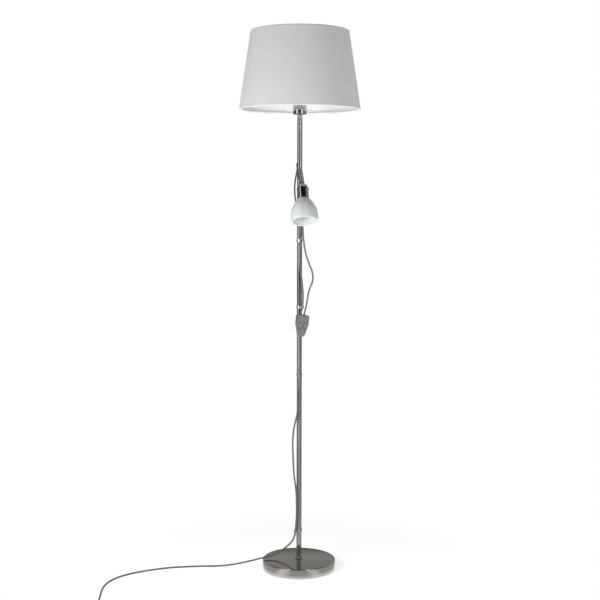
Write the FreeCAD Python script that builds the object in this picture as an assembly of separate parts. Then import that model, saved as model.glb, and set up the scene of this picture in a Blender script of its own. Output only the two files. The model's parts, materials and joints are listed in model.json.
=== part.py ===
"""Floor lamp with a fabric shade, an adjustable reading lamp, an in-line double switch and a mains lead.

Millimetres, +Z up, the origin on the floor under the middle of the base, -Y towards the front of the lamp.
Every piece is its own solid and its own STEP file in parts/.
"""

import FreeCAD, Part
import math
import os

V = FreeCAD.Vector
X_AXIS = V(1, 0, 0)
Y_AXIS = V(0, 1, 0)
Z_AXIS = V(0, 0, 1)

# ---- driving dimensions ----
BASE_R = 107.0
BASE_TOP = 29.0
BASE_SKIN = 1.2
BASE_EDGE = 2.5
PAD_R = 101.0
PAD_H = 3.0
WEIGHT_R = 104.0
WEIGHT_TOP = 26.0
WEIGHT_BOSS_R = 20.0
WEIGHT_RECESS_R = 17.0
WASHER_R = 13.0
WASHER_LOW = 14.0
WASHER_H = 1.5
NUT_CORNER_R = 9.8
NUT_LOW = 8.5

POLE_R = 7.5
POLE_BORE_R = 6.5
POLE_TOP = 1335.0
POLE_JOINTS = (464.0, 899.0)
COLLAR_R = 10.5
COLLAR_H = 5.5
NIPPLE_R = 5.0
NIPPLE_BORE_R = 3.6

SHADE_BOTTOM = 1348.0
SHADE_TOP = 1570.0
SHADE_BOTTOM_R = 175.0
SHADE_TOP_R = 141.0
FABRIC_WALL = 0.8
LINER_WALL = 0.8
SHADE_WIRE_R = 1.6
HUB_Z = 1392.0
HUB_HALF = 1.7
SPOKE_R = 1.6
SHADE_RING_H = 5.0

CUP_R = 19.5
CUP_WALL = 0.8
CUP_TOP = 1384.0
HOLDER_TOP = 1400.0

ARM_AZIMUTH = -80.0
ARM_START_Z = 1178.2
PIN_REACH = 50.0
PIN_Z = 1121.0
HEAD_TILT = 22.0
ARM_END_GAP = 19.0
BUSH_LENGTH = 12.0
STEM_R = 4.0
EYE_R = 5.5
TILT_PIN_R = 2.0
HEAD_CUP_R = 16.0
HEAD_CUP_WALL = 1.0
HEAD_CUP_DEPTH = 29.0
TILT_BUTTON_R = 3.4
# the slot over the cup's dome that the swivel stem moves in: degrees ahead of and behind the bell's axis
SLOT_AHEAD = -44.0
SLOT_BEHIND = 55.0
GLASS_RIM = 99.0
GLASS_WALL = 3.0
RUNNING = 0.05
BULB_WALL = 1.2

CORD_R = 2.5
CLIP_HEIGHTS = (973.0, 779.0, 579.0, 114.0)
CLIP_H = 7.0
CLIP_BAND = 1.5
CLIP_HOOK_R = 4.3
CLIP_MOUTH_HALF_W = 1.7
# the leads' outlets on the pole: azimuth in degrees, reach, spigot height, height where the lead starts
LAMP_OUTLET = (120.1, 13.04, 1192.0, 1184.0)
READING_OUTLET = (-54.8, 12.48, 1124.0, 1116.0)
SPIGOT_R = 3.2
BOSS_R = 4.0

SWITCH_CENTRE = V(6.6, -19.0, 726.0)
SWITCH_YAW = 15.0
SWITCH_ROLL = 6.0
SWITCH_HALF_DEPTH = 11.0
SWITCH_WALL = 2.0
SWITCH_EDGE_R = 3.0
ROCKER_X = 7.5
ROCKER_HALF_W = 4.5
ROCKER_HALF_H = 8.0
ROCKER_TILT = -7.0
ROCKER_PIVOT_Y = -7.5
ROCKER_CREST_Y = -13.4
TRUNNION_R = 1.2
WINDOW_SIDE_GAP = 0.3
WINDOW_END_GAP = 0.9
SCREW_SPOTS = ((0.0, 24.5), (0.0, -17.0))
LEAD_X = 5.0
LEAD_Y = 3.5
NUB_R = 4.0
NUB_H = 3.0
SWITCH_HALF_H = 31.5

COIL_CENTRE = V(-512.5, -352.0, 0)
COIL_TURN_R = 28.3
COIL_IN_R = 22.8
COIL_OUT_R = 33.9
COIL_H = 10.4
COIL_TURNS = 3.25
TAIL_START = V(-512.5, -380.3, 7.6)
PLUG_AXIS_Z = 7.0
PLUG_X = (-488.0, -462.0, -424.0)
PLUG_HALF_W = 17.6
PLUG_HALF_H = 6.8
PIN_R = 2.0
PIN_LENGTH = 19.0
PIN_ROOT_R = 1.5
PIN_ROOT_LENGTH = 8.0
PIN_HALF_SPACING = 9.3

# ---- routes of the leads, from their outlets: points of each cord's control line ----
LAMP_LEAD = [
    (-6.5, 11.3, 1184.0),
    (-8.2, 10.4, 1170.0),
    (-11.6, 6.4, 1155.0),
    (-14.0, 1.0, 1139.0),
    (-14.8, -4.2, 1121.0),
    (-13.8, -8.8, 1103.0),
    (-10.8, -12.4, 1083.0),
    (-6.2, -14.4, 1061.0),
    (-1.2, -14.6, 1038.0),
    (2.4, -13.4, 1016.0),
    (4.4, -12.2, 994.0),
    (3.6, -11.4, 973.0),
    (1.6, -11.8, 952.0),
    (0.2, -12.3, 929.0),
    (0.4, -12.5, 908.0),
    (2.8, -12.3, 887.0),
    (6.0, -11.8, 865.0),
    (8.6, -11.2, 842.0),
    (10.4, -10.2, 820.0),
    (10.3, -9.9, 799.0),
    (8.6, -10.8, 779.0),
    (5.8, -14.2, 768.5),
    (4.2, -16.0, 759.3),
]
READING_LEAD = [
    (7.2, -10.2, 1116.0),
    (8.4, -12.0, 1098.0),
    (9.7, -14.1, 1078.0),
    (10.2, -15.5, 1056.0),
    (9.7, -16.0, 1034.0),
    (9.2, -16.2, 1012.0),
    (9.8, -16.6, 992.0),
    (11.8, -17.0, 972.0),
    (14.4, -16.8, 951.0),
    (19.8, -16.2, 928.0),
    (28.2, -15.6, 904.0),
    (36.4, -15.2, 885.0),
    (39.6, -14.9, 866.0),
    (36.4, -14.6, 849.0),
    (30.0, -14.3, 836.0),
    (25.8, -14.0, 821.0),
    (23.4, -13.8, 804.0),
    (20.2, -13.6, 786.0),
    (16.2, -13.4, 770.0),
    (13.8, -13.4, 758.3),
]
MAINS_LEAD = [
    (2.4, -17.0, 691.7),
    (1.6, -15.9, 677.0),
    (1.3, -14.2, 660.0),
    (1.8, -12.9, 640.0),
    (2.6, -12.1, 618.0),
    (2.9, -11.7, 598.0),
    (2.1, -11.6, 579.0),
    (-0.8, -12.2, 561.0),
    (-4.0, -12.7, 542.0),
    (-5.2, -12.9, 522.0),
    (-4.4, -12.9, 503.0),
    (-3.6, -13.0, 487.0),
    (-5.2, -13.2, 470.0),
    (-9.0, -12.9, 452.0),
    (-13.6, -11.8, 433.0),
    (-17.0, -10.6, 412.0),
    (-18.8, -9.8, 387.0),
    (-18.6, -9.4, 360.0),
    (-17.4, -9.2, 332.0),
    (-16.6, -9.2, 305.0),
    (-14.6, -9.6, 280.0),
    (-11.2, -10.4, 257.0),
    (-8.2, -11.2, 233.0),
    (-7.2, -11.6, 207.0),
    (-6.8, -11.7, 180.0),
    (-7.4, -11.4, 155.0),
    (-8.8, -10.6, 133.0),
    (-10.2, -9.4, 114.0),
    (-12.6, -7.6, 99.0),
    (-17.6, -4.6, 86.0),
    (-25.6, -0.6, 74.6),
    (-35.6, 3.6, 64.0),
    (-47.4, 6.0, 53.6),
    (-61.0, 5.4, 44.6),
    (-76.0, 1.6, 38.4),
    (-90.6, -5.4, 35.8),
    (-104.6, -12.0, 34.8),
    (-120.0, -15.6, 31.6),
    (-137.6, -15.4, 27.2),
    (-157.0, -12.6, 21.6),
    (-179.0, -8.8, 15.6),
    (-203.0, -4.6, 10.2),
    (-228.0, 0.0, 5.9),
    (-254.0, 4.0, 3.4),
    (-280.0, 5.4, 2.7),
    (-306.0, 3.6, 2.6),
    (-332.0, 0.6, 2.6),
    (-358.0, -3.6, 2.6),
    (-384.0, -10.2, 2.6),
    (-410.0, -19.6, 2.6),
    (-436.0, -31.4, 2.6),
    (-461.0, -45.0, 2.6),
    (-485.0, -61.0, 2.6),
    (-507.0, -80.0, 2.6),
    (-526.0, -103.0, 2.6),
    (-540.0, -130.0, 2.6),
    (-548.0, -161.0, 2.6),
    (-550.6, -194.0, 2.6),
    (-549.0, -227.0, 2.6),
    (-546.0, -260.0, 2.6),
    (-544.2, -292.0, 2.6),
    (-543.7, -316.0, 2.6),
    (-543.5, -338.0, 2.6),
]


# ---- shapes ----
def rod(radius, low, high, centre=V(0, 0, 0)):
    return Part.makeCylinder(radius, high - low, centre + V(0, 0, low))


def rod_between(radius, start, end):
    return Part.makeCylinder(radius, (end - start).Length, start, end - start)


def ring(outer, inner, low, high, centre=V(0, 0, 0)):
    return rod(outer, low, high, centre).cut(rod(inner, low - 1, high + 1, centre))


def frustum_shell(low, high, low_r, high_r, wall):
    outer = Part.makeCone(low_r, high_r, high - low, V(0, 0, low))
    inner = Part.makeCone(low_r - wall, high_r - wall, high - low, V(0, 0, low))
    return outer.cut(inner)


def block(low, high):
    size = high - low
    return Part.makeBox(size.x, size.y, size.z, low)


def spline_edge(points):
    curve = Part.BSplineCurve()
    curve.interpolate([V(r, 0, z) for r, z in points])
    return curve.toShape()


def straight_edges(points):
    corners = [V(r, 0, z) for r, z in points]
    return [Part.makeLine(a, b) for a, b in zip(corners, corners[1:])]


def spun(edges):
    """A solid of revolution about Z from edges in the XZ plane that close on themselves."""
    wire = Part.Wire(Part.__sortEdges__(edges))
    return Part.Face(wire).revolve(V(0, 0, 0), Z_AXIS, 360)


def cord_path(points):
    """Straight runs joined by tangent arcs. Returns the wire and the arcs' radii."""
    corners = [V(*p) for p in points]
    edges = []
    radii = []
    at = corners[0]
    for before, corner, after in zip(corners, corners[1:], corners[2:]):
        into = corner - before
        out = after - corner
        half_turn = into.getAngle(out) / 2
        back = 0.45 * min(into.Length, out.Length)
        radii.append(back / math.tan(half_turn))
        into.normalize()
        out.normalize()
        first = corner - into * back
        last = corner + out * back
        bisector = (out - into).normalize()
        middle = corner + bisector * (radii[-1] / math.cos(half_turn) - radii[-1])
        edges.append(Part.LineSegment(at, first).toShape())
        edges.append(Part.Arc(first, middle, last).toShape())
        at = last
    edges.append(Part.LineSegment(at, corners[-1]).toShape())
    return Part.Wire(edges), radii


def cord_tube(name, points, radius=CORD_R):
    wire, radii = cord_path(points)
    start = V(*points[0])
    direction = V(*points[1]) - start
    section = Part.Wire(Part.makeCircle(radius, start, direction))
    tube = wire.makePipeShell([section], True, False)
    if tube.Volume < 0:
        tube = tube.reversed()
    ratio = tube.Volume / (math.pi * radius**2 * wire.Length)
    print(f"{name}: length {wire.Length:.1f}, smallest radius {min(radii):.1f}, volume ratio {ratio:.4f}")
    print("   radii " + " ".join(f"{r:.0f}" for r in radii))
    return tube


def round_edges(shape, radius, chosen):
    edges = [e for e in shape.Edges if chosen(e)]
    return shape.makeFillet(radius, edges)


# ---- frames of the reading lamp and of the switch ----
def arm_forward():
    a = math.radians(ARM_AZIMUTH)
    return V(math.cos(a), math.sin(a), 0)


ARM_START = V(0, 0, ARM_START_Z)
PIN_POINT = arm_forward() * PIN_REACH + V(0, 0, PIN_Z)
ARM_DIRECTION = (PIN_POINT - ARM_START).normalize()
TILT_AXIS = Z_AXIS.cross(arm_forward())


def on_arm(distance_from_pin):
    return PIN_POINT - ARM_DIRECTION * distance_from_pin


def placed_head(shape):
    """From the reading lamp's own axes, +Z down its bell from the pin and +Y along the pin, into place."""
    tilt = math.radians(HEAD_TILT)
    down_bell = arm_forward() * math.sin(tilt) - Z_AXIS * math.cos(tilt)
    across = TILT_AXIS
    third = across.cross(down_bell)
    matrix = FreeCAD.Matrix(
        third.x, across.x, down_bell.x, PIN_POINT.x,
        third.y, across.y, down_bell.y, PIN_POINT.y,
        third.z, across.z, down_bell.z, PIN_POINT.z,
        0, 0, 0, 1,
    )
    moved = shape.copy()
    moved.Placement = FreeCAD.Placement(matrix).multiply(shape.Placement)
    return moved


def placed_switch(shape):
    """From the switch's own axes, -Y out of its front and +Z up, into place beside the pole."""
    yaw = FreeCAD.Rotation(Z_AXIS, SWITCH_YAW)
    roll = FreeCAD.Rotation(Y_AXIS, SWITCH_ROLL)
    moved = shape.copy()
    moved.Placement = FreeCAD.Placement(SWITCH_CENTRE, yaw.multiply(roll)).multiply(shape.Placement)
    return moved


# ---- base ----
def base_cover():
    skin = BASE_SKIN
    solid = rod(BASE_R, 1.0, BASE_TOP)
    solid = round_edges(solid, BASE_EDGE, lambda e: e.BoundBox.ZMin > BASE_TOP - 0.1)
    hollow = rod(BASE_R - skin, 0, BASE_TOP - skin)
    hollow = round_edges(hollow, BASE_EDGE - skin, lambda e: e.BoundBox.ZMin > BASE_TOP - skin - 0.1)
    return solid.cut(hollow).cut(rod(NIPPLE_R, 0, BASE_TOP + 1))


def base_weight():
    solid = rod(WEIGHT_R, PAD_H, WEIGHT_TOP)
    solid = solid.fuse(rod(WEIGHT_BOSS_R, WEIGHT_TOP - 1, BASE_TOP - BASE_SKIN))
    recess = rod(WEIGHT_RECESS_R, PAD_H - 1, WASHER_LOW + WASHER_H)
    return solid.cut(recess).cut(rod(NIPPLE_R, 0, BASE_TOP))


def base_pad():
    return rod(PAD_R, 0, PAD_H)


def base_washer():
    return ring(WASHER_R, NIPPLE_R, WASHER_LOW, WASHER_LOW + WASHER_H)


def base_nut():
    corners = []
    for k in range(6):
        a = math.radians(60 * k)
        corners.append(V(NUT_CORNER_R * math.cos(a), NUT_CORNER_R * math.sin(a), NUT_LOW))
    hexagon = Part.Face(Part.makePolygon(corners + corners[:1]))
    nut = hexagon.extrude(V(0, 0, WASHER_LOW - NUT_LOW))
    return nut.cut(rod(NIPPLE_R, NUT_LOW - 1, WASHER_LOW + 1))


def nipple(low, high):
    return ring(NIPPLE_R, NIPPLE_BORE_R, low, high)


def foot_collar():
    top = BASE_TOP + COLLAR_H
    solid = ring(COLLAR_R, POLE_R, BASE_TOP, top)

    def outer_top(edge):
        return edge.BoundBox.ZMin > top - 0.1 and edge.BoundBox.XMax > COLLAR_R - 0.1

    return round_edges(solid, 1.2, outer_top)


# ---- pole ----
def pole_tube(low, high):
    return ring(POLE_R, POLE_BORE_R, low, high)


def outlet_direction(azimuth):
    a = math.radians(azimuth)
    return V(math.cos(a), math.sin(a), 0)


def outlet(azimuth, reach, height, exit_z):
    """Moulded lead outlet: a spigot through the pole's wall and a boss that points the lead down."""
    out = outlet_direction(azimuth)
    boss_axis = out * reach
    spigot = rod_between(SPIGOT_R, out * 0.5 + V(0, 0, height), boss_axis + V(0, 0, height))
    shoulder = rod_between(4.4, out * (POLE_R + 0.3) + V(0, 0, height), boss_axis + V(0, 0, height))
    boss = Part.makeCone(BOSS_R - 0.8, BOSS_R, height - exit_z, boss_axis + V(0, 0, exit_z))
    cap = Part.makeSphere(BOSS_R + 0.4, boss_axis + V(0, 0, height))
    return spigot.fuse(shoulder).fuse(boss).fuse(cap).removeSplitter()


def outlet_hole(azimuth, reach, height, exit_z):
    out = outlet_direction(azimuth)
    return rod_between(SPIGOT_R, out * 2.0 + V(0, 0, height), out * 12.0 + V(0, 0, height))


def pole_upper():
    tube = pole_tube(POLE_JOINTS[1], POLE_TOP)
    tube = tube.cut(outlet_hole(*LAMP_OUTLET)).cut(outlet_hole(*READING_OUTLET))
    return tube.cut(rod_between(POLE_BORE_R - 0.7, ARM_START, on_arm(40)))


def coupler(joint_z):
    solid = ring(POLE_BORE_R, 4.0, joint_z - 22, joint_z + 22)

    def outer_end(edge):
        return edge.BoundBox.ZLength < 0.01 and edge.BoundBox.XMax > POLE_BORE_R - 0.1

    return round_edges(solid, 0.8, outer_end)


def prism(corners, low, high):
    corners = [corner + V(0, 0, low) for corner in corners]
    return Part.Face(Part.makePolygon(corners + corners[:1])).extrude(V(0, 0, high - low))


def clip(height, cord_point):
    """Clear snap clip: a band round the pole and an open hook round the lead."""
    centre = V(cord_point[0], cord_point[1], 0)
    out = V(centre).normalize()
    low = height - CLIP_H / 2
    high = height + CLIP_H / 2
    solid = rod(POLE_R + CLIP_BAND, low, high).fuse(rod(CLIP_HOOK_R, low, high, centre))
    side = Z_AXIS.cross(out)
    web = [out * 2 + side * 3.4, centre + side * 3.4, centre - side * 3.4, out * 2 - side * 3.4]
    solid = solid.fuse(prism(web, low, high))
    solid = solid.cut(rod(POLE_R, low - 1, high + 1)).cut(rod(CORD_R, low - 1, high + 1, centre))
    beside = side * CLIP_MOUTH_HALF_W
    mouth = [centre + beside, centre + beside + out * 8, centre - beside + out * 8, centre - beside]
    return solid.cut(prism(mouth, low - 1, high + 1)).removeSplitter()


def lamp_wires():
    foot = outlet_direction(LAMP_OUTLET[0]) * 2.0
    spigot_top = LAMP_OUTLET[2] + SPIGOT_R
    route = [(0, 0, 1353), (0, 0, 1240), (foot.x, foot.y, 1215), (foot.x, foot.y, spigot_top)]
    return cord_tube("lamp_wires", route, 2.2)


def reading_wires():
    """Two thin cores in one sleeve, up the arm and down inside the pole to the reading lead's outlet."""
    f = arm_forward()
    in_arm = on_arm(ARM_END_GAP + BUSH_LENGTH + 6)
    top = f * 3.0 + V(0, 0, ARM_START_Z + 1.5)
    over = f * -3.6 + V(0, 0, ARM_START_Z + 3.5)
    down = f * -3.6 + V(0, 0, ARM_START_Z - 12)
    low = outlet_direction(READING_OUTLET[0]) * 2.2 + V(0, 0, ARM_START_Z - 34)
    foot = V(low.x, low.y, READING_OUTLET[2] + SPIGOT_R)
    return cord_tube("reading_wires", [tuple(p) for p in (in_arm, top, over, down, low, foot)], 1.5)


# ---- reading lamp ----
def arm_tube():
    start = ARM_START
    end = on_arm(ARM_END_GAP)
    solid = rod_between(POLE_R, start, end).cut(rod_between(POLE_BORE_R, start, end + ARM_DIRECTION))
    return solid.cut(rod(POLE_R, 1100, 1260)).Solids[-1]


def arm_end_bush():
    inner = on_arm(ARM_END_GAP + BUSH_LENGTH)
    outer = on_arm(ARM_END_GAP)
    solid = rod_between(POLE_BORE_R, inner, outer)
    return solid.cut(rod_between(STEM_R + RUNNING, inner - ARM_DIRECTION, outer + ARM_DIRECTION))


def swivel_stem():
    top = on_arm(ARM_END_GAP + BUSH_LENGTH + 2.2)
    head = rod_between(5.6, top, on_arm(ARM_END_GAP + BUSH_LENGTH + 0.3))
    eye = rod_between(EYE_R, PIN_POINT - TILT_AXIS * 3.9, PIN_POINT + TILT_AXIS * 3.9)
    bore = rod_between(TILT_PIN_R + RUNNING, PIN_POINT - TILT_AXIS * 8, PIN_POINT + TILT_AXIS * 8)
    waist = rod_between(3.9, on_arm(ARM_END_GAP - 2), PIN_POINT)
    shank = rod_between(STEM_R, top, on_arm(ARM_END_GAP - 3))
    return head.fuse(shank).fuse(waist).fuse(eye).cut(bore).removeSplitter()


def tilt_pin():
    pin = Part.makeCylinder(TILT_PIN_R, 2 * HEAD_CUP_R, V(0, -HEAD_CUP_R, 0), Y_AXIS)
    for side in (-1, 1):
        seat = V(0, side * (HEAD_CUP_R - 0.1), 0)
        button = Part.makeCylinder(TILT_BUTTON_R, 1.3, seat, Y_AXIS * side)
        pin = pin.fuse(button)
    return placed_head(pin.removeSplitter())


def cup_body(radius, depth):
    past_end = rod(2 * radius, depth, depth + 2 * radius)
    return Part.makeSphere(radius).fuse(rod(radius, 0, depth)).cut(past_end)


def sector(low_degrees, high_degrees, half_width, reach):
    """Wedge about the pin, between two angles from the dome's top, behind it where positive."""
    corners = [V(0, -half_width, 0)]
    for step in range(9):
        a = math.radians(low_degrees + (high_degrees - low_degrees) * step / 8)
        corners.append(V(reach * math.sin(a), -half_width, -reach * math.cos(a)))
    return Part.Face(Part.makePolygon(corners + corners[:1])).extrude(V(0, 2 * half_width, 0))


def reading_cup():
    solid = cup_body(HEAD_CUP_R, HEAD_CUP_DEPTH)
    solid = solid.cut(cup_body(HEAD_CUP_R - HEAD_CUP_WALL, HEAD_CUP_DEPTH + 1))
    solid = solid.cut(sector(SLOT_AHEAD, SLOT_BEHIND, 4.6, 30))
    pin_hole = Part.makeCylinder(TILT_PIN_R, 60, V(0, -30, 0), Y_AXIS)
    solid = solid.cut(pin_hole)
    for side in (-1, 1):
        seat = V(0, side * (HEAD_CUP_R - 0.1), 0)
        solid = solid.cut(Part.makeCylinder(TILT_BUTTON_R, 5, seat, Y_AXIS * side))
    return placed_head(solid)


def reading_lampholder():
    solid = rod(11.6, 8.0, 38.0).fuse(rod(15.0, 23.0, 27.0))
    solid = solid.cut(rod(8.0, 14.0, 39.0)).cut(rod(2.0, 7.0, 15.0))
    return placed_head(solid)


def reading_thread_shell():
    return placed_head(ring(7.9, 7.2, 16.0, 37.0))


def reading_contact():
    return placed_head(rod(3.2, 14.0, 15.4))


def glass_ring():
    return placed_head(ring(13.6, 11.6, 32.7, 36.4))


def glass_outline(inset):
    """Bell's side from shoulder to rim, as radius and distance from the pin, moved inwards by inset."""
    side = [
        (16.0, 30.6, 0.74, 0.67),
        (20.4, 35.6, 0.76, 0.65),
        (27.2, 45.0, 0.83, 0.56),
        (33.4, 57.0, 0.93, 0.36),
        (37.2, 71.0, 0.99, 0.12),
        (38.3, 85.0, 1.0, 0.0),
        (38.4, GLASS_RIM, 1.0, 0.0),
    ]
    return [(r - inset * into_r, z + inset * into_z) for r, z, into_r, into_z in side]


def glass_shade():
    outer = glass_outline(0.0)
    inner = glass_outline(GLASS_WALL)
    neck = [inner[0], (12.0, inner[0][1]), (12.0, 29.2), (15.2, 29.2), outer[0]]
    edges = [spline_edge(outer), spline_edge(inner)]
    edges += straight_edges(neck)
    edges += straight_edges([outer[-1], inner[-1]])
    return placed_head(spun(edges))


def reading_bulb_cap():
    return placed_head(rod(3.0, 15.4, 18.0).fuse(rod(7.0, 18.0, 39.0)))


def bulb_outline(neck_r, neck_z, flare_z, ball_r, ball_z):
    """Round bulb on the axis: a straight neck, then a flare into a ball along +Z."""
    meet_r = ball_r * 0.90
    meet_z = ball_z - ball_r * 0.436
    flare = [(neck_r, flare_z), (neck_r * 1.25, flare_z + 0.5 * (meet_z - flare_z)), (meet_r, meet_z)]
    rest = straight_edges([flare[-1], (0, meet_z), (0, neck_z), (neck_r, neck_z), flare[0]])
    neck = spun([spline_edge(flare)] + rest)
    return neck.fuse(Part.makeSphere(ball_r, V(0, 0, ball_z))).removeSplitter()


def hollow_bulb(neck_r, neck_z, flare_z, ball_r, ball_z):
    wall = BULB_WALL
    inside = bulb_outline(neck_r - wall, neck_z - 1.0, flare_z, ball_r - wall, ball_z)
    return bulb_outline(neck_r, neck_z, flare_z, ball_r, ball_z).cut(inside)


def reading_bulb_glass():
    return placed_head(hollow_bulb(7.0, 39.0, 40.0, 19.0, 63.0))


# ---- main lamp ----
def socket_cup():
    floor_z = POLE_TOP
    solid = rod(CUP_R, floor_z, CUP_TOP)
    solid = round_edges(solid, 2.0, lambda e: e.BoundBox.ZMax < floor_z + 0.1)
    hollow = rod(CUP_R - CUP_WALL, floor_z + 1.2, CUP_TOP + 1)
    hollow = round_edges(hollow, 1.2, lambda e: e.BoundBox.ZMax < floor_z + 1.3)
    return solid.cut(hollow).cut(rod(NIPPLE_R, floor_z - 1, floor_z + 3))


def lampholder_body():
    solid = rod(18.0, 1340.0, CUP_TOP).fuse(rod(19.2, CUP_TOP, HOLDER_TOP))
    solid = solid.cut(rod(14.2, 1356.0, HOLDER_TOP + 1)).cut(rod(NIPPLE_R, 1339.0, 1348.0))
    return solid.cut(rod(2.8, 1347.0, 1357.0))


def lampholder_shell():
    return ring(14.1, 13.4, 1360.0, HOLDER_TOP - 2)


def lampholder_contact():
    return rod(5.0, 1356.0, 1358.0)


def bulb_cap():
    return rod(5.0, 1358.0, 1361.0).fuse(rod(13.2, 1361.0, 1386.0))


def bulb_glass():
    return hollow_bulb(13.0, 1386.0, 1401.0, 30.0, 1438.0)


def shade_ring(low):
    solid = ring(28.0, 19.2, low, low + 3.0).fuse(ring(22.0, 19.2, low, low + SHADE_RING_H))
    return solid.removeSplitter()


def shade_radius(z):
    share = (z - SHADE_BOTTOM) / (SHADE_TOP - SHADE_BOTTOM)
    return SHADE_BOTTOM_R + share * (SHADE_TOP_R - SHADE_BOTTOM_R)


def shade_wire(z):
    inner_r = shade_radius(z) - FABRIC_WALL - LINER_WALL - SHADE_WIRE_R - 0.25
    return Part.makeTorus(inner_r, SHADE_WIRE_R, V(0, 0, z)), inner_r


def shade_spider():
    low_wire, wire_r = shade_wire(SHADE_BOTTOM + 2.4)
    solid = ring(27.0, 19.4, HUB_Z - HUB_HALF, HUB_Z + HUB_HALF)
    for turn in (90, 210, 330):
        out = outlet_direction(turn)
        start = out * 24.5 + V(0, 0, HUB_Z)
        bend = out * 46.0 + V(0, 0, HUB_Z)
        end = out * wire_r + V(0, 0, SHADE_BOTTOM + 2.4)
        solid = solid.fuse(rod_between(SPOKE_R, start, bend)).fuse(Part.makeSphere(SPOKE_R, bend))
        solid = solid.fuse(rod_between(SPOKE_R, bend, end))
    return solid.fuse(low_wire).removeSplitter()


def shade_top_ring():
    return shade_wire(SHADE_TOP - 2.4)[0]


def shade_fabric():
    return frustum_shell(SHADE_BOTTOM, SHADE_TOP, SHADE_BOTTOM_R, SHADE_TOP_R, FABRIC_WALL)


def shade_liner():
    wall = LINER_WALL
    inset = FABRIC_WALL + 0.05
    return frustum_shell(SHADE_BOTTOM, SHADE_TOP, SHADE_BOTTOM_R - inset, SHADE_TOP_R - inset, wall)


# ---- in-line double switch, in its own axes ----
def tangent_outline(circles):
    """Convex outline round circles given anticlockwise as (x, z, radius)."""
    count = len(circles)
    sides = []
    for k in range(count):
        x0, z0, r0 = circles[k]
        x1, z1, r1 = circles[(k + 1) % count]
        length = math.hypot(x1 - x0, z1 - z0)
        along = math.atan2(z1 - z0, x1 - x0)
        normal = along - math.acos((r0 - r1) / length)
        first = V(x0 + r0 * math.cos(normal), 0, z0 + r0 * math.sin(normal))
        last = V(x1 + r1 * math.cos(normal), 0, z1 + r1 * math.sin(normal))
        sides.append((first, last, normal))
    edges = []
    for k in range(count):
        x, z, r = circles[k]
        arrive = sides[k - 1]
        leave = sides[k]
        turn = (leave[2] - arrive[2]) % (2 * math.pi)
        middle = arrive[2] + turn / 2
        halfway = V(x + r * math.cos(middle), 0, z + r * math.sin(middle))
        edges.append(Part.Arc(arrive[1], halfway, leave[0]).toShape())
        edges.append(Part.makeLine(leave[0], leave[1]))
    return Part.Wire(edges)


def switch_outline(inset):
    circles = [
        (0.0, -20.5, 11.0 - inset),
        (10.0, 6.5, 8.0 - inset),
        (13.4, 26.9, 4.6 - inset),
        (-13.4, 26.9, 4.6 - inset),
        (-10.0, 6.5, 8.0 - inset),
    ]
    return Part.Face(tangent_outline(circles))


def switch_half(outer_y, rim_y):
    """Half housing from its outer face to the parting face, rounded outside and hollow inside."""
    depth = rim_y - outer_y
    inward = math.copysign(SWITCH_WALL, depth)
    solid = switch_outline(0.0).extrude(V(0, depth, 0))
    solid.translate(V(0, outer_y, 0))

    def on_outer_face(edge):
        return abs(edge.BoundBox.YMax - outer_y) < 0.01 and edge.BoundBox.YLength < 0.01

    solid = round_edges(solid, SWITCH_EDGE_R, on_outer_face)
    hollow = switch_outline(SWITCH_WALL).extrude(V(0, depth - inward + math.copysign(1.0, depth), 0))
    hollow.translate(V(0, outer_y + inward, 0))
    return solid.cut(hollow)


def lead_holes():
    top = SWITCH_HALF_H
    holes = [rod(CORD_R + 0.4, top - 6, top + 6, V(x, LEAD_Y, 0)) for x in (-LEAD_X, LEAD_X)]
    holes.append(rod(CORD_R + 0.4, -top - 6, -top + 6, V(0, LEAD_Y - 0.5, 0)))
    return holes


def switch_front_shell():
    solid = switch_half(-SWITCH_HALF_DEPTH, 0.0)
    for x in (-ROCKER_X, ROCKER_X):
        half_w = ROCKER_HALF_W + WINDOW_SIDE_GAP
        half_h = ROCKER_HALF_H + WINDOW_END_GAP
        low = V(x - half_w, -SWITCH_HALF_DEPTH - 1, -half_h)
        high = V(x + half_w, -SWITCH_HALF_DEPTH + 3, half_h)
        solid = solid.cut(block(low, high))
    ribs = [(-2.6, 2.6), (12.4, 14.0), (-14.0, -12.4)]
    for low_x, high_x in ribs:
        rib = block(V(low_x, -SWITCH_HALF_DEPTH + SWITCH_WALL - 0.5, -3.5), V(high_x, -4.5, 3.5))
        solid = solid.fuse(rib)
    bore = Part.makeCylinder(TRUNNION_R + RUNNING, 27, V(-13.5, ROCKER_PIVOT_Y, 0), X_AXIS)
    return placed_switch(solid.cut(bore).removeSplitter())


def switch_back_shell():
    solid = switch_half(SWITCH_HALF_DEPTH, 0.05)
    for x, z in SCREW_SPOTS:
        post = Part.makeCylinder(3.4, SWITCH_HALF_DEPTH - 3.0, V(x, 1.0, z), Y_AXIS)
        solid = solid.fuse(post).cut(Part.makeCylinder(1.5, 20, V(x, 0, z), Y_AXIS))
        solid = solid.cut(Part.makeCylinder(2.8, 5, V(x, SWITCH_HALF_DEPTH - 2.2, z), Y_AXIS))
    for hole in lead_holes():
        solid = solid.cut(hole)
    return placed_switch(solid.removeSplitter())


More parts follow.
